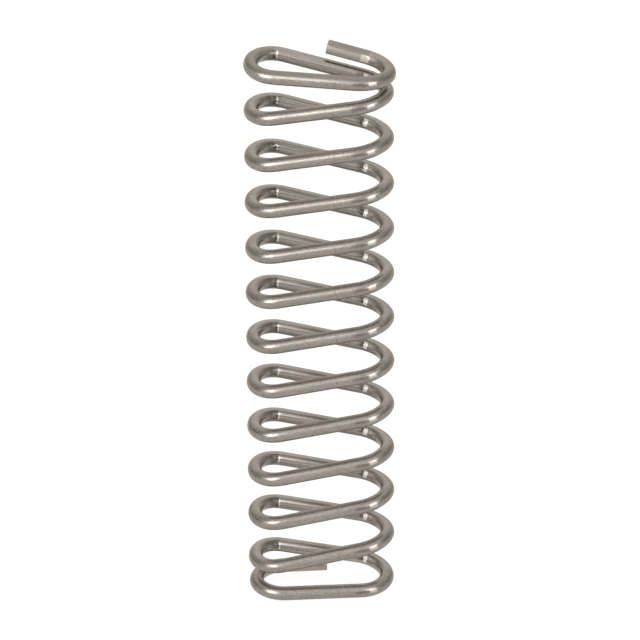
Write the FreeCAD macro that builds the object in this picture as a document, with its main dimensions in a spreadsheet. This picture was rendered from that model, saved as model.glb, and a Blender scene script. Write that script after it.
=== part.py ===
import FreeCAD, Part
import math
import os

# Oval compression spring: one round wire wound right-handed round an obround
# plan. +Z is the spring axis, the long sides of the middle turn lie along X and
# both square-cut ends are on the +Y side. The lower end turn rests on Z = 0.

SIZES = [
    ("wire_diameter", "2.0"),
    ("side_length", "11.1"),         # straight wire along a long side
    ("closed_side_length", "10.6"),  # the same, on the side that rests on Z = 0
    ("lower_end_length", "6.3"),     # straight wire at the lower cut end
    ("upper_end_length", "5.4"),     # straight wire at the upper cut end
    ("bend_radius", "4.0"),          # centre line of the half-round ends
    ("turn_height", "6.98"),         # rise of one active turn
    ("turns", "13"),                 # whole turns, cut end to cut end
    ("side_angle", "11.65"),         # slope of the long sides, degrees
    ("turn_creep", "-1.2"),          # each turn lies this many degrees round from the last
    ("lower_tip_gap", "0.27"),       # air between the lower cut end and the turn above it
    ("upper_tip_gap", "0.9"),        # air between the upper cut end and the turn below it
]
NODE = "spring_wire"
SWEEP_ALLOWANCE = 0.001

doc = FreeCAD.newDocument("oval_spring")
sheet = doc.addObject("Spreadsheet::Sheet", "Sizes")
for row, (alias, value) in enumerate(SIZES, start=1):
    sheet.set("A%d" % row, alias)
    sheet.set("B%d" % row, value)
    sheet.setAlias("B%d" % row, alias)
doc.recompute()
size = {alias: float(sheet.get(alias)) for alias, _ in SIZES}


def direction(heading, climb):
    """Unit vector at a heading seen from above and a climb, both in radians."""
    return FreeCAD.Vector(
        math.cos(heading) * math.cos(climb),
        math.sin(heading) * math.cos(climb),
        math.sin(climb),
    )


def quarter_bend(start, way_in, way_out):
    """Arc of the bend radius that turns way_in into way_out, and where it ends."""
    radius = size["bend_radius"]
    angle = way_in.getAngle(way_out)
    end = start + (way_in + way_out) * radius * math.tan(angle / 2.0)
    inward = (way_out - way_in * way_in.dot(way_out)).normalize()
    centre = start + inward * radius
    middle = centre + ((start - centre) + (end - centre)).normalize() * radius
    return Part.Arc(start, middle, end).toShape(), end


def climbs():
    """Climb of every straight side, and of the wire at the middle of every bend."""
    side = math.radians(size["side_angle"])
    rise = math.sin(side)
    bends = 2 * int(round(size["turns"]))
    straight = size["side_length"]
    radius = size["bend_radius"]
    wire = size["wire_diameter"]

    # A half turn climbs one side and two quarter bends.
    bend = math.asin((size["turn_height"] / 2.0 - straight * rise) / (2.0 * radius) - rise)
    # The end turns climb only as far as the air left at the cut ends asks for.
    half_side_and_bend = (straight / 2.0 + radius) * rise
    lower = wire + size["lower_tip_gap"] - half_side_and_bend
    upper = wire + size["upper_tip_gap"] - 2.0 * half_side_and_bend

    sides = [side] * (bends + 1)
    middles = [bend] * bends
    sides[0] = sides[1] = middles[0] = 0.0
    middles[1] = math.asin(lower / (2.0 * radius))
    sides[-2] = 0.0
    middles[-2] = middles[-1] = math.asin(upper / (4.0 * radius))
    return sides, middles


def side_lengths(count):
    """Length of every straight side."""
    lengths = [size["side_length"]] * count
    lengths[0] = size["lower_end_length"]
    lengths[1] = size["closed_side_length"]
    lengths[-1] = size["upper_end_length"]
    return lengths


def centre_line():
    """Lines and arcs from the lower cut end to the upper one, each running smoothly on."""
    sides, middles = climbs()
    half_turn = math.pi + math.radians(size["turn_creep"]) / 2.0
    last = len(sides) - 1
    lengths = side_lengths(len(sides))
    first_heading = math.pi - last / 2.0 * (half_turn - math.pi)
    point = FreeCAD.Vector(0.0, size["bend_radius"], size["wire_diameter"] / 2.0)
    edges = []
    for j, side in enumerate(sides):
        heading = first_heading + j * half_turn
        along = direction(heading, side)
        edges.append(Part.makeLine(point, point + along * lengths[j]))
        point = point + along * lengths[j]
        if j < last:
            across = direction(heading + half_turn / 2.0, middles[j])
            back = direction(heading + half_turn, sides[j + 1])
            first, point = quarter_bend(point, along, across)
            second, point = quarter_bend(point, across, back)
            edges += [first, second]
    wire = Part.Wire(edges)
    middle = wire.BoundBox.Center
    wire.translate(FreeCAD.Vector(-middle.x, -middle.y, 0.0))
    return wire


path = doc.addObject("Part::Feature", "CentreLine")
path.Shape = centre_line()

section = doc.addObject("Part::Circle", "WireSection")
section.setExpression("Radius", "Sizes.wire_diameter / 2")
cut_end = path.Shape.Edges[0]
section.Placement = FreeCAD.Placement(
    cut_end.valueAt(cut_end.FirstParameter),
    FreeCAD.Rotation(FreeCAD.Vector(0, 0, 1), cut_end.tangentAt(cut_end.FirstParameter)),
)

spring = doc.addObject("Part::Sweep", NODE)
spring.Label = NODE
spring.Sections = [section]
spring.Spine = (path, ["Edge%d" % (i + 1) for i in range(len(path.Shape.Edges))])
spring.Solid = True
spring.Frenet = False
doc.recompute()

for item in doc.Objects:
    if "Invalid" in item.State or "Error" in item.State:
        raise RuntimeError("%s did not build: %s" % (item.Label, item.State))
shape = spring.Shape
if shape.isNull() or not shape.isValid():
    raise RuntimeError("the wire is not a valid solid")
expected = math.pi * (size["wire_diameter"] / 2.0) ** 2 * path.Shape.Length
if abs(shape.Volume / expected - 1.0) > SWEEP_ALLOWANCE:
    raise RuntimeError("the sweep lost or gained volume")
os.makedirs("parts", exist_ok=True)
shape.exportStep(os.path.join("parts", NODE + ".step"))
box = shape.BoundBox
print("size %.2f x %.2f x %.2f mm, x %.2f to %.2f, y %.2f to %.2f, wire %.1f mm" % (
    box.XLength, box.YLength, box.ZLength, box.XMin, box.XMax, box.YMin, box.YMax,
    path.Shape.Length))
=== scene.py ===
"""Oval compression spring: the wound steel wire, its drawn finish and the stage it stands on."""

import math
from collections import namedtuple

import bmesh
import bpy
from mathutils import Matrix, Vector
from mathutils.kdtree import KDTree


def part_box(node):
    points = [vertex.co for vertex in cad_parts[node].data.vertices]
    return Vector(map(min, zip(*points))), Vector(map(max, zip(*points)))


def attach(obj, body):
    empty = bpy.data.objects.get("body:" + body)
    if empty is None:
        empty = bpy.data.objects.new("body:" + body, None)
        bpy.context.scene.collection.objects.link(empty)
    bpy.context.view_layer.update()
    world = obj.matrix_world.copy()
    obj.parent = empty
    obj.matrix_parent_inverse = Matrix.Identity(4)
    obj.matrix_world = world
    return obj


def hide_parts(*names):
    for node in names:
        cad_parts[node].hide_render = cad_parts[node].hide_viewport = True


bl_info = {
    "name": "Oval compression spring",
    "version": (1, 0, 0),
    "blender": (4, 5, 0),
    "location": "3D View > Sidebar > Spring",
    "description": "Winds an oval compression spring and lights it on a white stage",
    "category": "Add Mesh",
}

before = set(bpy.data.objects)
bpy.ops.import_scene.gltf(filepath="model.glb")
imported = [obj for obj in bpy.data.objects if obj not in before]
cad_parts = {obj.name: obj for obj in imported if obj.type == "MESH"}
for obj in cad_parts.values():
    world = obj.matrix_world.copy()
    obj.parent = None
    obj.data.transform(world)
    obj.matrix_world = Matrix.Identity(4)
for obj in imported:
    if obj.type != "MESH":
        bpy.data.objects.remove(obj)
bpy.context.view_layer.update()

WIRE_NODE = "spring_wire"
STRAIGHT_PLACE = "straight_wire"  # a point's place on the wire before it was wound
HALF_TURNS = "half_turns"         # how many half turns of wire lie below a point
INNER_SIDE = "inner_side"         # 1 on the side that faces the coil's middle, -1 outside
UPPER_SIDE = "upper_side"         # 1 on top of the wire, -1 underneath
SHEARED = 1                       # number of the cut ends' material; the drawn wire's is 0
END_BEVEL = 0.00007               # metres worn off the edges of the cut ends
RING_SLACK = 1.01                 # wire radii from its ring's centre that a point may lie
MARK_DRIFT = 0.00003              # metres that the tool marks move on in each half turn
GRAIN_GLOSS = 0.14                # how much the grain changes the roughness
SURFACE_DEPTH = 0.00002           # metres that the drawn surface goes up and down
TEAR_DEPTH = 0.00005              # the same for the cut ends
FLOOR_BOUNCE = 0.8                # grey of the floor, for the light that it throws back
FLOOR_SHADED = 0.12               # grey of the floor to the camera, where a shadow can show
FLOOR_GLOW = 0.92                 # light that the camera sees come from the floor itself
SENSOR_WIDTH = 36.0               # millimetres
VIEW_DEPTH = 20.0                 # metres beyond which the camera sees nothing

Ring = namedtuple("Ring", "centre turned drawn halves")


class WireSizes(bpy.types.PropertyGroup):
    """Sizes of the wound wire."""

    wire_diameter: bpy.props.FloatProperty(
        name="Wire diameter", description="Thickness of the round wire",
        default=0.002, unit="LENGTH")
    side_length: bpy.props.FloatProperty(
        name="Side length", description="Straight wire along a long side",
        default=0.0111, unit="LENGTH")
    closed_side_length: bpy.props.FloatProperty(
        name="Closed side length", description="The same, on the side that rests on the floor",
        default=0.0106, unit="LENGTH")
    lower_end_length: bpy.props.FloatProperty(
        name="Lower end length", description="Straight wire at the lower cut end",
        default=0.0063, unit="LENGTH")
    upper_end_length: bpy.props.FloatProperty(
        name="Upper end length", description="Straight wire at the upper cut end",
        default=0.0054, unit="LENGTH")
    bend_radius: bpy.props.FloatProperty(
        name="Bend radius", description="Centre line of the half-round ends",
        default=0.004, unit="LENGTH")
    turn_height: bpy.props.FloatProperty(
        name="Turn height", description="Rise of one active turn",
        default=0.00698, unit="LENGTH")
    turns: bpy.props.IntProperty(
        name="Turns", description="Whole turns from cut end to cut end", default=13)
    side_angle: bpy.props.FloatProperty(
        name="Side angle", description="Slope of the long sides",
        default=math.radians(11.65), subtype="ANGLE")
    turn_creep: bpy.props.FloatProperty(
        name="Turn creep", description="How far each turn lies round from the one below",
        default=math.radians(-1.2), subtype="ANGLE")
    lower_tip_gap: bpy.props.FloatProperty(
        name="Lower tip gap", description="Air above the lower cut end",
        default=0.00027, unit="LENGTH")
    upper_tip_gap: bpy.props.FloatProperty(
        name="Upper tip gap", description="Air below the upper cut end",
        default=0.0009, unit="LENGTH")
    around: bpy.props.IntProperty(
        name="Faces around", description="Faces round the wire", default=40)
    bend_steps: bpy.props.IntProperty(
        name="Bend steps", description="Faces along a quarter bend", default=12)
    side_steps: bpy.props.IntProperty(
        name="Side steps", description="Faces along a straight side", default=6)


class SteelFinish(bpy.types.PropertyGroup):
    """Colours and gloss of the drawn stainless wire."""

    steel: bpy.props.FloatVectorProperty(
        name="Steel", description="Main tone of the wire", size=3, subtype="COLOR",
        default=(0.285, 0.257, 0.226))
    pale: bpy.props.FloatVectorProperty(
        name="Pale lines", description="Tone of the brighter draw lines", size=3,
        subtype="COLOR", default=(0.40, 0.367, 0.33))
    # The dark tone also paints shade on top of the last turn.
    dark: bpy.props.FloatVectorProperty(
        name="Dark lines", description="Tone of the duller draw lines", size=3,
        subtype="COLOR", default=(0.17, 0.15, 0.13))
    # The speck tone also paints the darker patches by the tool marks, painted shade before each
    # pressed place, and a painted shade line where the wire is creased.
    speck: bpy.props.FloatVectorProperty(
        name="Specks", description="Tone of the pits and of smeared lubricant", size=3,
        subtype="COLOR", default=(0.06, 0.052, 0.044))
    # The bright tone also paints highlights: the glints of the tool marks, and painted highlights
    # along the runs.
    rubbed_and_highlight: bpy.props.FloatVectorProperty(
        name="Rubbed steel", description="Tone where the winding tool pressed", size=3,
        subtype="COLOR", default=(0.72, 0.67, 0.61))
    rim: bpy.props.FloatVectorProperty(
        name="Rim", description="Tint of the steel where it is seen edge on", size=3,
        subtype="COLOR", default=(0.86, 0.8, 0.73))
    roughness: bpy.props.FloatProperty(
        name="Roughness", description="Gloss of the drawn wire", default=0.31,
        min=0.0, max=1.0, subtype="FACTOR")
    torn_roughness: bpy.props.FloatProperty(
        name="Torn roughness", description="Gloss of the cut ends", default=0.5,
        min=0.0, max=1.0, subtype="FACTOR")


class StageSettings(bpy.types.PropertyGroup):
    """Camera and light."""

    camera_distance: bpy.props.FloatProperty(
        name="Camera distance", description="From the lens to the spring's middle",
        default=0.801, unit="LENGTH")
    camera_lens: bpy.props.FloatProperty(
        name="Camera lens", description="Focal length in millimetres", default=322.5,
        unit="CAMERA")
    camera_elevation: bpy.props.FloatProperty(
        name="Camera elevation", description="How far the camera looks down",
        default=math.radians(27.79), subtype="ANGLE")
    camera_azimuth: bpy.props.FloatProperty(
        name="Camera azimuth", description="How far the camera stands round from -Y",
        default=math.radians(3.56), subtype="ANGLE")
    camera_roll: bpy.props.FloatProperty(
        name="Camera roll", description="Lean of the picture",
        default=math.radians(0.362), subtype="ANGLE")
    aim_height: bpy.props.FloatProperty(
        name="Aim height", description="Height of the point looked at",
        default=0.04274, unit="LENGTH")
    aim_side: bpy.props.FloatProperty(
        name="Aim side", description="How far to the right of the axis the camera looks",
        default=-0.00014, unit="LENGTH")
    room_light: bpy.props.FloatProperty(
        name="Room light", description="Strength of the light from ahead, behind and above",
        default=1.21, min=0.0)
    side_light: bpy.props.FloatProperty(
        name="Side light", description="Strength of the light from the two sides",
        default=0.47, min=0.0)
    side_fade: bpy.props.FloatProperty(
        name="Side fade", description="How far to the side the room light starts to weaken",
        default=0.12, min=0.0, max=1.0, subtype="FACTOR")
    key_place: bpy.props.FloatVectorProperty(
        name="Key place", description="Where the brighter panel stands, at the left",
        size=3, subtype="TRANSLATION", unit="LENGTH", default=(-0.53, -0.57, 0.41))
    key_size: bpy.props.FloatVectorProperty(
        name="Key size", description="Width and height of the brighter panel",
        size=2, unit="LENGTH", default=(0.38, 0.46))
    key_power: bpy.props.FloatProperty(
        name="Key power", description="Power of the brighter panel",
        default=4.3, min=0.0, unit="POWER")
    fill_place: bpy.props.FloatVectorProperty(
        name="Fill place", description="Where the weaker panel stands, at the right",
        size=3, subtype="TRANSLATION", unit="LENGTH", default=(0.53, -0.57, 0.40))
    fill_size: bpy.props.FloatVectorProperty(
        name="Fill size", description="Width and height of the weaker panel",
        size=2, unit="LENGTH", default=(0.40, 0.42))
    fill_power: bpy.props.FloatProperty(
        name="Fill power", description="Power of the weaker panel",
        default=2.2, min=0.0, unit="POWER")
    floor_size: bpy.props.FloatProperty(
        name="Floor size", description="Side of the square floor", default=6.0, unit="LENGTH")


def direction(heading, climb):
    """Unit vector at a heading seen from above and a climb."""
    return Vector((
        math.cos(heading) * math.cos(climb),
        math.sin(heading) * math.cos(climb),
        math.sin(climb),
    ))


def climbs(sizes):
    """Climb of every straight side, and of the wire at the middle of every bend."""
    rise = math.sin(sizes.side_angle)
    straight, radius = sizes.side_length, sizes.bend_radius

    # A half turn climbs one side and two quarter bends.
    bend = math.asin((sizes.turn_height / 2 - straight * rise) / (2 * radius) - rise)
    # The end turns climb only as far as the air left at the cut ends asks for.
    half_side_and_bend = (straight / 2 + radius) * rise
    lower = sizes.wire_diameter + sizes.lower_tip_gap - half_side_and_bend
    upper = sizes.wire_diameter + sizes.upper_tip_gap - 2 * half_side_and_bend

    sides = [sizes.side_angle] * (2 * sizes.turns + 1)
    middles = [bend] * (2 * sizes.turns)
    sides[0] = sides[1] = middles[0] = 0.0
    middles[1] = math.asin(lower / (2 * radius))
    sides[-2] = 0.0
    middles[-2] = middles[-1] = math.asin(upper / (4 * radius))
    return sides, middles


def side_lengths(sizes, count):
    """Length of every straight side."""
    lengths = [sizes.side_length] * count
    lengths[0] = sizes.lower_end_length
    lengths[1] = sizes.closed_side_length
    lengths[-1] = sizes.upper_end_length
    return lengths


def half_turn_length(sizes):
    """Wire in a half turn."""
    return sizes.side_length + math.pi * sizes.bend_radius


def side_share(sizes):
    """How much of a half turn is its straight side."""
    return sizes.side_length / half_turn_length(sizes)


def is_cut(face):
    """True for the two cut ends, the only faces with more than four corners."""
    return len(face.verts) > 4


class WireWinder:
    """Draws a ring of wire on through straight sides and bends, and notes each ring's place."""

    def __init__(self, mesh, sizes, point, along):
        self.mesh = mesh
        self.sizes = sizes
        self.radius = sizes.wire_diameter / 2
        self.point = point
        self.turned = along.to_track_quat("Z", "Y").to_matrix()
        self.drawn = 0.0
        made = bmesh.ops.create_circle(
            mesh, cap_ends=True, segments=sizes.around, radius=self.radius,
            matrix=Matrix.Translation(point) @ self.turned.to_4x4())
        self.ring = made["verts"]
        self.rings = [Ring(point.copy(), self.turned.copy(), 0.0, 0.0)]

    def rim(self):
        """The edges of the open ring."""
        members = set(self.ring)
        found = {edge for vert in self.ring for edge in vert.link_edges}
        return [e for e in found if e.verts[0] in members and e.verts[1] in members]

    def draw(self, steps, **path):
        """Draws the open ring on along one path."""
        made = bmesh.ops.spin(self.mesh, geom=self.ring + self.rim(), steps=steps,
                              use_merge=False, use_duplicate=False, **path)
        self.ring = [g for g in made["geom_last"] if isinstance(g, bmesh.types.BMVert)]

    def side(self, along, length, last):
        """A straight side that ends last half turns up the wire."""
        steps = self.sizes.side_steps
        self.draw(steps, cent=self.point, axis=along, angle=0.0, dvec=along * length / steps)
        first = self.rings[-1].halves
        for step in range(1, steps + 1):
            share = step / steps
            self.rings.append(Ring(self.point + along * length * share, self.turned.copy(),
                                   self.drawn + length * share,
                                   first + (last - first) * share))
        self.point = self.point + along * length
        self.drawn += length

    def bend(self, way_in, way_out, last):
        """A quarter bend that ends last half turns up the wire."""
        steps, radius = self.sizes.bend_steps, self.sizes.bend_radius
        angle = way_in.angle(way_out)
        inward = (way_out - way_in * way_in.dot(way_out)).normalized()
        axis = way_in.cross(way_out).normalized()
        middle = self.point + inward * radius
        self.draw(steps, cent=middle, axis=axis, angle=angle)
        first = self.rings[-1].halves
        for step in range(1, steps + 1):
            share = step / steps
            turn = Matrix.Rotation(angle * share, 3, axis)
            self.rings.append(Ring(middle + turn @ (self.point - middle), turn @ self.turned,
                                   self.drawn + radius * angle * share,
                                   first + (last - first) * share))
        self.point, self.turned = self.rings[-1].centre.copy(), self.rings[-1].turned.copy()
        self.drawn += radius * angle

    def finish(self):
        """Closes the open ring and wears the edges of both cut ends."""
        bmesh.ops.contextual_create(self.mesh, geom=self.rim())
        edges = {edge for face in self.mesh.faces if is_cut(face) for edge in face.edges}
        worn = bmesh.ops.bevel(self.mesh, geom=list(edges), offset=END_BEVEL, segments=2,
                               profile=0.5, affect="EDGES", material=-1)
        for face in worn["faces"]:
            face.material_index = SHEARED
        for face in self.mesh.faces:
            face.smooth = not is_cut(face)
            if is_cut(face):
                face.material_index = SHEARED
        bmesh.ops.recalc_face_normals(self.mesh, faces=self.mesh.faces)
        self.write_places()

    def write_places(self):
        """Writes on every point where it lies on the wire."""
        layers = self.mesh.verts.layers
        straight_place = layers.float_vector.new(STRAIGHT_PLACE)
        half_turns = layers.float.new(HALF_TURNS)
        inner_side = layers.float.new(INNER_SIDE)
        upper_side = layers.float.new(UPPER_SIDE)
        centres = KDTree(len(self.rings))
        for index, ring in enumerate(self.rings):
            centres.insert(ring.centre, index)
        centres.balance()
        for vert in self.mesh.verts:
            centre, index, distance = centres.find(vert.co)
            if distance > self.radius * RING_SLACK:
                raise RuntimeError("a point of the wire is off its ring")
            ring = self.rings[index]
            along = ring.turned.col[2]
            inward = Vector((-along.y, along.x, 0.0)).normalized()
            offset = vert.co - centre
            place = ring.turned.transposed() @ offset
            vert[straight_place] = Vector((place.x, place.y, ring.drawn))
            vert[half_turns] = ring.halves
            vert[inner_side] = offset.dot(inward) / self.radius
            vert[upper_side] = offset.dot(along.cross(inward)) / self.radius


def wind_spring(mesh, sizes):
    """Winds the whole spring from its lower cut end."""
    sides, middles = climbs(sizes)
    lengths = side_lengths(sizes, len(sides))
    last = len(sides) - 1
    half_turn = math.pi + sizes.turn_creep / 2
    first_heading = math.pi - last / 2 * (half_turn - math.pi)
    share = side_share(sizes)
    start = Vector((0.0, sizes.bend_radius, sizes.wire_diameter / 2))
    winder = WireWinder(mesh, sizes, start, direction(first_heading, sides[0]))
    for j, climb in enumerate(sides):
        heading = first_heading + j * half_turn
        along = direction(heading, climb)
        winder.side(along, lengths[j], j + (share / 2 if j < last else 0.0))
        if j < last:
            across = direction(heading + half_turn / 2, middles[j])
            back = direction(heading + half_turn, sides[j + 1])
            winder.bend(along, across, j + 0.5)
            winder.bend(across, back, j + 1 - share / 2)
    winder.finish()


class NodeBench:
    """Adds shader nodes and joins them up."""

    def __init__(self, owner):
        owner.use_nodes = True
        self.tree = owner.node_tree
        self.tree.nodes.clear()

    def add(self, kind, **settings):
        """A node of a kind, with its settings."""
        node = self.tree.nodes.new(kind)
        for name, value in settings.items():
            setattr(node, name, value)
        return node

    def join(self, source, target):
        """Leads one socket into another."""
        self.tree.links.new(source, target)

    def feed(self, value, socket):
        """Leads a value into a socket, be it another socket or a number."""
        if isinstance(value, bpy.types.NodeSocket):
            self.join(value, socket)
        else:
            socket.default_value = value

    def attribute(self, name, output="Fac"):
        """What the winder wrote on the wire's points under a name."""
        return self.add("ShaderNodeAttribute", attribute_name=name).outputs[output]

    def math(self, operation, *values):
        """The result of one arithmetic step."""
        node = self.add("ShaderNodeMath", operation=operation)
        for value, socket in zip(values, node.inputs):
            self.feed(value, socket)
        return node.outputs[0]

    def product(self, *values):
        """All the values multiplied."""
        result = values[0]
        for value in values[1:]:
            result = self.math("MULTIPLY", result, value)
        return result

    def weighted(self, start, *parts):
        """A start value plus the parts, each a value times its weight."""
        for value, weight in parts:
            start = self.math("MULTIPLY_ADD", value, weight, start)
        return start

    def strongest(self, *parts):
        """The largest of the parts, each a value times its weight."""
        products = [self.product(value, weight) for value, weight in parts]
        result = products[0]
        for value in products[1:]:
            result = self.math("MAXIMUM", result, value)
        return result

    def ramp(self, value, low, high, start, end):
        """Runs smoothly from start, where the value is low, to end, where it is high."""
        node = self.add("ShaderNodeMapRange", interpolation_type="SMOOTHSTEP")
        self.join(value, node.inputs["Value"])
        node.inputs["From Min"].default_value = low
        node.inputs["From Max"].default_value = high
        node.inputs["To Min"].default_value = start
        node.inputs["To Max"].default_value = end
        return node.outputs["Result"]

    def above(self, value, edge, soft):
        """1 where a value lies above an edge, with a soft step."""
        return self.ramp(value, edge - soft / 2, edge + soft / 2, 0.0, 1.0)

    def below(self, value, edge, soft):
        """1 where a value lies below an edge, with a soft step."""
        return self.ramp(value, edge - soft / 2, edge + soft / 2, 1.0, 0.0)

    def band(self, value, edges, soft):
        """1 where a value lies between two edges, with soft steps."""
        low, high = edges
        return self.product(self.above(value, low, soft), self.below(value, high, soft))

    def noise(self, vector, scale, stretch, detail, roughness):
        """Noise with a grain of 1 / scale metres, stretched that many times along the wire."""
        place = self.add("ShaderNodeMapping")
        self.join(vector, place.inputs["Vector"])
        place.inputs["Scale"].default_value = (1.0, 1.0, 1.0 / stretch)
        node = self.add("ShaderNodeTexNoise")
        self.join(place.outputs["Vector"], node.inputs["Vector"])
        node.inputs["Scale"].default_value = scale
        node.inputs["Detail"].default_value = detail
        node.inputs["Roughness"].default_value = roughness
        return node.outputs["Fac"]

    def mix(self, factor, first, second):
        """A mix of two colours, each a colour or a socket."""
        node = self.add("ShaderNodeMix", data_type="RGBA")
        self.join(factor, node.inputs["Factor"])
        for name, value in (("A", first), ("B", second)):
            socket = [s for s in node.inputs if s.name == name and s.type == "RGBA"][0]
            if not isinstance(value, bpy.types.NodeSocket):
                value = (*value, 1.0)
            self.feed(value, socket)
        return [s for s in node.outputs if s.type == "RGBA"][0]

    def metal(self, colour, roughness, rim, relief, strength, depth):
        """Ends a material as bare metal, with bumps about depth metres high."""
        bump = self.add("ShaderNodeBump")
        bump.inputs["Strength"].default_value = strength
        bump.inputs["Distance"].default_value = depth
        self.join(relief, bump.inputs["Height"])
        shader = self.add("ShaderNodeBsdfPrincipled")
        shader.inputs["Metallic"].default_value = 1.0
        shader.inputs["Specular Tint"].default_value = (*rim, 1.0)
        self.join(colour, shader.inputs["Base Color"])
        self.feed(roughness, shader.inputs["Roughness"])
        self.join(bump.outputs["Normal"], shader.inputs["Normal"])
        output = self.add("ShaderNodeOutputMaterial")
        self.join(shader.outputs["BSDF"], output.inputs["Surface"])


class DrawnSteel:
    """Dull drawn stainless wire: grain, draw lines, pits, the winding tool's marks, and painted
    highlights and shade.

    Lengths along the wire are in metres, and heights go from -1 under the wire to 1 on top.
    What a method works out is a share of the surface, from 0 to 1, unless it says otherwise.
    """

    def __init__(self, finish, sizes):
        self.finish = finish
        self.sizes = sizes
        self.last = 2 * sizes.turns  # half turns of wire below the upper cut end
        self.material = bpy.data.materials.new("drawn_steel")
        self.bench = NodeBench(self.material)
        self.find_place()
        self.draw_surface()
        self.nick_wire()
        self.press_wire()
        self.wipe_wire()
        self.last_turn_rub_and_light()
        self.gather_marks()
        self.bench.metal(self.colour(), self.roughness(), finish.rim, self.relief(),
                         strength=0.5, depth=SURFACE_DEPTH)

    def find_place(self):
        """Where a point lies: on the wire, and past the start and the end of its bend."""
        bench = self.bench
        self.place = bench.attribute(STRAIGHT_PLACE, "Vector")
        self.halves = bench.attribute(HALF_TURNS)
        self.inner = bench.attribute(INNER_SIDE)
        self.outer = bench.product(self.inner, -1.0)
        self.height = bench.attribute(UPPER_SIDE)
        half_side = side_share(self.sizes) / 2
        self.past_start = self.past(half_side)
        self.past_end = self.past(1 - half_side)

    def past(self, bend):
        """Metres past a place in every half turn, and the marks drift a little up the wire."""
        bench = self.bench
        drift = bench.product(bench.math("SUBTRACT", self.halves, self.sizes.turns), MARK_DRIFT)
        share = bench.math("SUBTRACT", bench.math("FRACT", self.halves), bend)
        along = bench.product(share, half_turn_length(self.sizes))
        return bench.math("SUBTRACT", along, drift)

    def draw_surface(self):
        """The drawn surface before any mark: pale and dark lines, dull patches, pits."""
        bench, place = self.bench, self.place
        self.grain = bench.noise(place, scale=7500.0, stretch=2.2, detail=3.0, roughness=0.65)
        self.lines = bench.noise(place, scale=7000.0, stretch=40.0, detail=3.0, roughness=0.6)
        self.pits = bench.noise(place, scale=4300.0, stretch=1.8, detail=1.0, roughness=0.5)
        self.smears = bench.noise(place, scale=2600.0, stretch=2.5, detail=4.0, roughness=0.7)
        patches = bench.noise(place, scale=500.0, stretch=3.0, detail=4.0, roughness=0.6)
        tone = bench.weighted(0.0, (self.grain, 0.7), (self.lines, 0.3))
        self.pale = bench.above(tone, 0.54, soft=0.12)
        self.dark = bench.below(tone, 0.46, soft=0.12)
        self.dull = bench.above(patches, 0.53, soft=0.2)
        self.pitted = bench.above(self.pits, 0.735, soft=0.03)
        self.inside = bench.above(self.inner, 0.0, soft=0.8)

    def on(self, side):
        """What lies well on one side of the wire."""
        return self.bench.above(side, 0.2, soft=0.2)

    def patch(self, past, side, along, heights, soft, height_soft=0.2, ragged=0.0):
        """A patch at the same place on every bend; the edge of a ragged one wanders."""
        bench, height = self.bench, self.height
        if ragged:
            wander = bench.math("SUBTRACT", self.smears, 0.5)
            past = bench.weighted(past, (wander, ragged))
            height = bench.weighted(height, (wander, ragged / (self.sizes.wire_diameter / 2)))
        return bench.product(bench.band(past, along, soft),
                             bench.band(height, heights, height_soft), self.on(side))

    def into_bend_inside(self, **edges):
        """A patch on the inner side, where the wire runs into a bend."""
        return self.patch(self.past_start, self.inner, **edges)

    def into_bend_outside(self, **edges):
        """A patch on the outer side, where the wire runs into a bend."""
        return self.patch(self.past_start, self.outer, **edges)

    def out_of_bend_inside(self, **edges):
        """A patch on the inner side, where the wire leaves a bend."""
        return self.patch(self.past_end, self.inner, **edges)

    def spotted(self, share):
        """A share that is stronger in spots."""
        spots = self.bench.above(self.pits, 0.46, soft=0.1)
        return self.bench.product(share, self.bench.weighted(0.7, (spots, 0.4)))

    def nick_wire(self):
        """A bright nick where the wire runs into a bend, and a darker, spotted patch past it."""
        self.nick = self.into_bend_inside(
            along=(0.00078, 0.00104), heights=(-0.25, 0.8), soft=0.00012, ragged=0.0004)
        blot = self.into_bend_inside(
            along=(0.00106, 0.0017), heights=(-0.35, 0.7), soft=0.0001, ragged=0.0016)
        fade = self.into_bend_inside(
            along=(0.0012, 0.0027), heights=(-0.4, 0.75), soft=0.0006, ragged=0.001)
        self.nick_dark = self.bench.strongest((self.spotted(blot), 1.0), (fade, 0.6))

    def press_wire(self):
        """Where each bend was pressed round: a bright place whose glint is painted, rougher wire
        before it with painted shade, and a darker patch after it.

        It is weaker on the last whole turn and left out of the last bend.
        """
        bench = self.bench
        lower_turns = bench.below(self.halves, self.last - 2.6, soft=0.4)
        before_last = bench.below(self.halves, self.last - 1, soft=0.4)
        # The pressed place's bright patch is a painted highlight, the glint of the flat spot that
        # the tool left.
        press_and_glint = self.out_of_bend_inside(
            along=(-0.00128, -0.00055), heights=(-0.18, 0.8), soft=0.0001, ragged=0.0004)
        blot = self.out_of_bend_inside(
            along=(-0.00056, 0.00008), heights=(0.02, 0.7), soft=0.0001, ragged=0.0014)
        fade = self.out_of_bend_inside(
            along=(-0.0005, 0.0005), heights=(0.0, 0.75), soft=0.0006, ragged=0.001)
        self.press_and_glint = bench.product(press_and_glint, before_last, bench.weighted(0.3, (lower_turns, 0.7)))
        # Before the pressed place the wire is rougher, and painted shade darkens it where a glint
        # would show.
        self.press_start_rough_and_shade = self.out_of_bend_inside(
            along=(-0.0026, -0.00132), heights=(-0.1, 0.7), soft=0.00025)
        self.press_dark = bench.strongest(
            (self.spotted(bench.product(blot, lower_turns)), 1.0),
            (bench.product(fade, before_last), 0.5))

    def wipe_wire(self):
        """Round the start of each bend: a wiped place whose glint is painted, a darker patch
        before it, a painted shade line where the wire is creased, and a painted highlight on the
        inner side before the bend.

        The painted highlight fades out on the upper turns.
        """
        bench = self.bench
        # The wiped place's bright patch is a painted highlight, the glint of a flat spot.
        self.wipe_and_glint = self.into_bend_outside(
            along=(0.0014, 0.0023), heights=(-0.02, 0.45), soft=0.00016)
        self.wipe_dark = self.into_bend_outside(
            along=(-0.0004, 0.0013), heights=(0.05, 0.42), soft=0.0009, height_soft=0.3)
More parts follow.
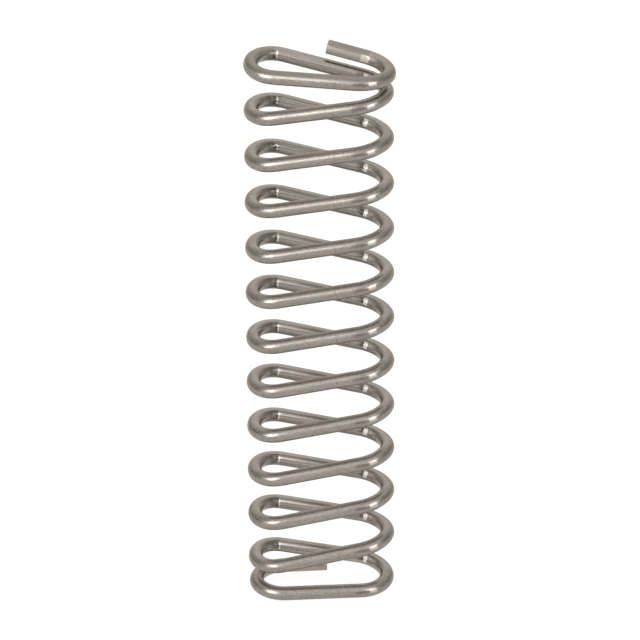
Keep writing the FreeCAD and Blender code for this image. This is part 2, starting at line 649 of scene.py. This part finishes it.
        # Painted shade in a thin line across the wire, where it is creased.
        self.crease_shade = self.into_bend_outside(
            along=(-0.00296, -0.00286), heights=(-0.4, 0.7), soft=0.0001)
        # A painted highlight along the top of the inner side, up to the nick.
        painted_back_highlight = self.into_bend_inside(
            along=(-0.0045, 0.00085), heights=(0.45, 0.95), soft=0.0002)
        self.painted_back_highlight = bench.product(painted_back_highlight, bench.above(self.past_start, -0.003, soft=0.004),
                                    bench.below(self.halves, self.last - 10, soft=3.0))

    def last_turn_rub_and_light(self):
        """The last turn: at the back inside, the wire is rougher and, below its top, painted
        paler as a painted highlight that is brightest by its bend; in front outside runs a
        painted highlight.

        Painted shade darkens the top of the wire there.
        """
        bench = self.bench
        last_side = bench.above(
            self.halves, self.last - side_share(self.sizes) / 2 - 0.03, soft=0.03)
        # Below its top the last side is rougher, and it is painted paler as a painted highlight.
        self.end_rub_and_painted_light = bench.product(last_side, bench.below(self.height, 0.5, soft=0.1),
                                     self.on(self.inner))
        # Painted shade on top of the last side.
        self.painted_end_top_shade = bench.product(last_side, bench.above(self.height, 0.5, soft=0.1))
        # A painted glint by the last bend.
        press_and_glint = self.out_of_bend_inside(
            along=(-0.00128, 0.0002), heights=(-0.4, 0.6), soft=0.0001, ragged=0.0006)
        self.end_press_and_glint = bench.product(press_and_glint, bench.above(self.halves, self.last - 1, soft=0.4))
        # A painted highlight along the front of the top turn.
        self.painted_front_highlight = bench.product(
            bench.band(self.halves, (self.last - 1.7, self.last - 0.85), soft=0.3),
            bench.band(self.height, (0.37, 0.64), soft=0.16),
            self.on(self.outer), bench.above(self.smears, 0.4, soft=0.2))
        # Painted shade on top of the wire along the front of the top turn.
        self.painted_front_top_shade = bench.product(
            bench.band(self.halves, (self.last - 1.7, self.last - 0.5), soft=0.3),
            bench.above(self.height, 0.72, soft=0.15))

    def gather_marks(self):
        """Tool marks and painted highlights that brighten the wire, darker patches and painted
        shade that darken it, and black flecks on some upper turns.
        """
        bench = self.bench
        # Tool marks and painted highlights, all in the bright tone.
        self.rubbed_and_highlight = bench.strongest(
            (self.nick, 0.85), (self.press_and_glint, 0.95), (self.wipe_and_glint, 0.55), (self.painted_back_highlight, 0.35),
            (self.painted_front_highlight, 0.3), (self.end_rub_and_painted_light, 0.18), (self.end_press_and_glint, 0.68))
        # Darker patches by the tool marks, and painted shade before each pressed place.
        darkening = bench.strongest((self.nick_dark, 1.0), (self.press_dark, 1.0),
                               (self.wipe_dark, 0.7), (self.press_start_rough_and_shade, 0.55))
        self.dark_patches_and_shade = bench.product(darkening, bench.above(self.smears, 0.36, soft=0.24))
        # Painted shade on top of the last turn.
        self.painted_top_shade = bench.strongest((self.painted_end_top_shade, 0.42), (self.painted_front_top_shade, 0.3))
        near_nick = self.into_bend_inside(
            along=(0.0005, 0.0023), heights=(-0.3, 0.8), soft=0.0005)
        near_press = self.out_of_bend_inside(
            along=(-0.0008, 0.0002), heights=(-0.3, 0.8), soft=0.0005)
        self.flecks = bench.product(
            bench.above(self.pits, 0.57, soft=0.05),
            bench.strongest((near_nick, 1.0), (near_press, 1.0)),
            bench.band(self.halves, (self.last - 9, self.last - 2), soft=1.0))

    def colour(self):
        """The colour, laid on from the bare steel up; each layer has a strength."""
        finish = self.finish
        layers = (
            (finish.pale, self.pale, 0.5),
            (finish.dark, self.dark, 0.45),
            (finish.dark, self.dull, 0.22),
            (finish.speck, self.pitted, 0.65),
            (finish.pale, self.inside, 0.3),
            # Darker patches by the tool marks, and painted shade before each pressed place.
            (finish.speck, self.dark_patches_and_shade, 0.8),
            # A painted shade line where the wire is creased.
            (finish.speck, self.crease_shade, 0.4),
            # Painted shade on top of the last turn.
            (finish.dark, self.painted_top_shade, 1.0),
            # Tool marks and painted highlights.
            (finish.rubbed_and_highlight, self.rubbed_and_highlight, 1.0),
            (finish.speck, self.flecks, 0.9),
        )
        colour = finish.steel
        for tone, share, strength in layers:
            colour = self.bench.mix(self.bench.product(share, strength), colour, tone)
        return colour

    def roughness(self):
        """The roughness: the finish's own where the grain is middling, and more on some marks."""
        return self.bench.weighted(
            self.finish.roughness - GRAIN_GLOSS / 2, (self.grain, GRAIN_GLOSS),
            (self.dull, 0.05), (self.rubbed_and_highlight, 0.05), (self.press_start_rough_and_shade, 0.15),
            (self.end_rub_and_painted_light, 0.38))

    def relief(self):
        """The height of the surface, for the bumps: grain and lines up, pits and marks down."""
        return self.bench.weighted(
            0.0, (self.grain, 0.8), (self.lines, 0.5), (self.pitted, -0.5),
            (self.dark_patches_and_shade, -0.8), (self.nick, -0.9), (self.flecks, -1.0))


def sheared_steel(finish):
    """The square-cut ends and their worn edges: torn steel, duller than the drawn wire."""
    material = bpy.data.materials.new("sheared_steel")
    bench = NodeBench(material)
    place = bench.add("ShaderNodeTexCoord").outputs["Object"]
    tears = bench.noise(place, scale=5000.0, stretch=3.0, detail=5.0, roughness=0.7)
    bench.metal(bench.mix(tears, finish.dark, finish.pale), finish.torn_roughness,
                rim=(1.0, 1.0, 1.0), relief=tears, strength=0.6, depth=TEAR_DEPTH)
    return material


class SPRING_OT_wind_wire(bpy.types.Operator):
    """Wind the spring's one piece of wire and give it its drawn finish"""

    bl_idname = "spring.wind_wire"
    bl_label = "Wind wire"

    def execute(self, context):
        sizes = context.scene.spring_wire_sizes
        finish = context.scene.spring_steel_finish
        mesh = bmesh.new()
        wind_spring(mesh, sizes)
        low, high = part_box(WIRE_NODE)
        own_low = Vector([min(v.co[i] for v in mesh.verts) for i in range(3)])
        own_high = Vector([max(v.co[i] for v in mesh.verts) for i in range(3)])
        shift = (low + high - own_low - own_high) / 2
        shift.z = low.z - own_low.z
        bmesh.ops.translate(mesh, verts=mesh.verts, vec=shift)
        data = bpy.data.meshes.new("wound_wire")
        mesh.to_mesh(data)
        mesh.free()
        data.materials.append(DrawnSteel(finish, sizes).material)
        data.materials.append(sheared_steel(finish))
        wire = bpy.data.objects.new("wound_wire", data)
        context.scene.collection.objects.link(wire)
        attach(wire, "root")
        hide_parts(WIRE_NODE)
        return {"FINISHED"}


def grey(value):
    """An opaque grey."""
    return (value, value, value, 1.0)


def white_floor():
    """A white floor that keeps a faint shadow."""
    material = bpy.data.materials.new("white_floor")
    bench = NodeBench(material)
    bounce = bench.add("ShaderNodeBsdfDiffuse")
    bounce.inputs["Color"].default_value = grey(FLOOR_BOUNCE)
    shaded = bench.add("ShaderNodeBsdfDiffuse")
    shaded.inputs["Color"].default_value = grey(FLOOR_SHADED)
    glow = bench.add("ShaderNodeEmission")
    glow.inputs["Strength"].default_value = FLOOR_GLOW
    seen = bench.add("ShaderNodeAddShader")
    bench.join(shaded.outputs[0], seen.inputs[0])
    bench.join(glow.outputs[0], seen.inputs[1])

    # The camera sees the floor straight, in a gloss or through glass.
    ray = bench.add("ShaderNodeLightPath")
    kinds = ("Is Camera Ray", "Is Glossy Ray", "Is Transmission Ray")
    choice = bench.add("ShaderNodeMixShader")
    bench.join(bench.strongest(*[(ray.outputs[kind], 1.0) for kind in kinds]),
               choice.inputs[0])
    bench.join(bounce.outputs[0], choice.inputs[1])
    bench.join(seen.outputs[0], choice.inputs[2])
    output = bench.add("ShaderNodeOutputMaterial")
    bench.join(choice.outputs[0], output.inputs["Surface"])
    return material


def studio_world(stage):
    """Soft light from all round, weaker from the two sides."""
    world = bpy.data.worlds.new("studio")
    bench = NodeBench(world)
    parts = bench.add("ShaderNodeSeparateXYZ")
    bench.join(bench.add("ShaderNodeTexCoord").outputs["Generated"], parts.inputs["Vector"])
    sideways = bench.math("ABSOLUTE", parts.outputs["X"])
    light = bench.add("ShaderNodeBackground")
    light.inputs["Color"].default_value = grey(1.0)
    bench.join(bench.ramp(sideways, stage.side_fade, 1.0, stage.room_light, stage.side_light),
               light.inputs["Strength"])
    output = bench.add("ShaderNodeOutputWorld")
    bench.join(light.outputs["Background"], output.inputs["Surface"])
    return world


def add_panel_light(name, place, aim, size, power):
    """A soft light panel that faces a point."""
    lamp = bpy.data.lights.new(name, "AREA")
    lamp.shape = "RECTANGLE"
    lamp.size, lamp.size_y = size
    lamp.energy = power
    holder = bpy.data.objects.new(name, lamp)
    bpy.context.scene.collection.objects.link(holder)
    holder.location = place
    holder.rotation_euler = (aim - Vector(place)).to_track_quat("-Z", "Y").to_euler()


def add_camera(scene, stage):
    """The camera, which looks down on the spring from the front."""
    turn, down, roll = stage.camera_azimuth, stage.camera_elevation, stage.camera_roll
    forward = Vector((-math.sin(turn) * math.cos(down),
                      math.cos(turn) * math.cos(down), -math.sin(down)))
    right = Vector((math.cos(turn), math.sin(turn), 0.0))
    up = right.cross(forward)
    rolled_right = right * math.cos(roll) - up * math.sin(roll)
    rolled_up = right * math.sin(roll) + up * math.cos(roll)
    aim = Vector((0.0, 0.0, stage.aim_height)) + right * stage.aim_side
    lens = bpy.data.cameras.new("camera")
    lens.lens = stage.camera_lens
    lens.sensor_width = SENSOR_WIDTH
    lens.clip_end = VIEW_DEPTH
    camera = bpy.data.objects.new("camera", lens)
    scene.collection.objects.link(camera)
    pose = Matrix((rolled_right, rolled_up, -forward)).transposed().to_4x4()
    pose.translation = aim - forward * stage.camera_distance
    camera.matrix_world = pose
    scene.camera = camera


class SPRING_OT_set_stage(bpy.types.Operator):
    """Lay the white floor, and place the lights and the camera"""

    bl_idname = "spring.set_stage"
    bl_label = "Set stage"

    def execute(self, context):
        stage = context.scene.spring_stage
        mesh = bmesh.new()
        bmesh.ops.create_grid(mesh, x_segments=1, y_segments=1, size=stage.floor_size / 2)
        data = bpy.data.meshes.new("floor")
        mesh.to_mesh(data)
        mesh.free()
        data.materials.append(white_floor())
        floor = bpy.data.objects.new("floor", data)
        context.scene.collection.objects.link(floor)

        context.scene.world = studio_world(stage)
        aim = Vector((0.0, 0.0, stage.aim_height))
        add_panel_light("key_panel", stage.key_place, aim, stage.key_size, stage.key_power)
        add_panel_light("fill_panel", stage.fill_place, aim, stage.fill_size, stage.fill_power)
        add_camera(context.scene, stage)
        context.scene.view_settings.view_transform = "Standard"
        return {"FINISHED"}


class SPRING_PT_sidebar(bpy.types.Panel):
    """The spring's sizes, finish and stage"""

    bl_label = "Oval spring"
    bl_idname = "SPRING_PT_sidebar"
    bl_space_type = "VIEW_3D"
    bl_region_type = "UI"
    bl_category = "Spring"

    def draw(self, context):
        for owner in ("spring_wire_sizes", "spring_steel_finish", "spring_stage"):
            group = getattr(context.scene, owner)
            for name in group.bl_rna.properties.keys():
                if name not in ("rna_type", "name"):
                    self.layout.prop(group, name)
        self.layout.operator(SPRING_OT_wind_wire.bl_idname)
        self.layout.operator(SPRING_OT_set_stage.bl_idname)


CLASSES = (WireSizes, SteelFinish, StageSettings, SPRING_OT_wind_wire, SPRING_OT_set_stage,
           SPRING_PT_sidebar)


def register():
    for item in CLASSES:
        bpy.utils.register_class(item)
    bpy.types.Scene.spring_wire_sizes = bpy.props.PointerProperty(type=WireSizes)
    bpy.types.Scene.spring_steel_finish = bpy.props.PointerProperty(type=SteelFinish)
    bpy.types.Scene.spring_stage = bpy.props.PointerProperty(type=StageSettings)


def unregister():
    del bpy.types.Scene.spring_stage
    del bpy.types.Scene.spring_steel_finish
    del bpy.types.Scene.spring_wire_sizes
    for item in reversed(CLASSES):
        bpy.utils.unregister_class(item)


def main():
    register()
    bpy.ops.spring.wind_wire()
    bpy.ops.spring.set_stage()


if __name__ == "__main__":
    main()
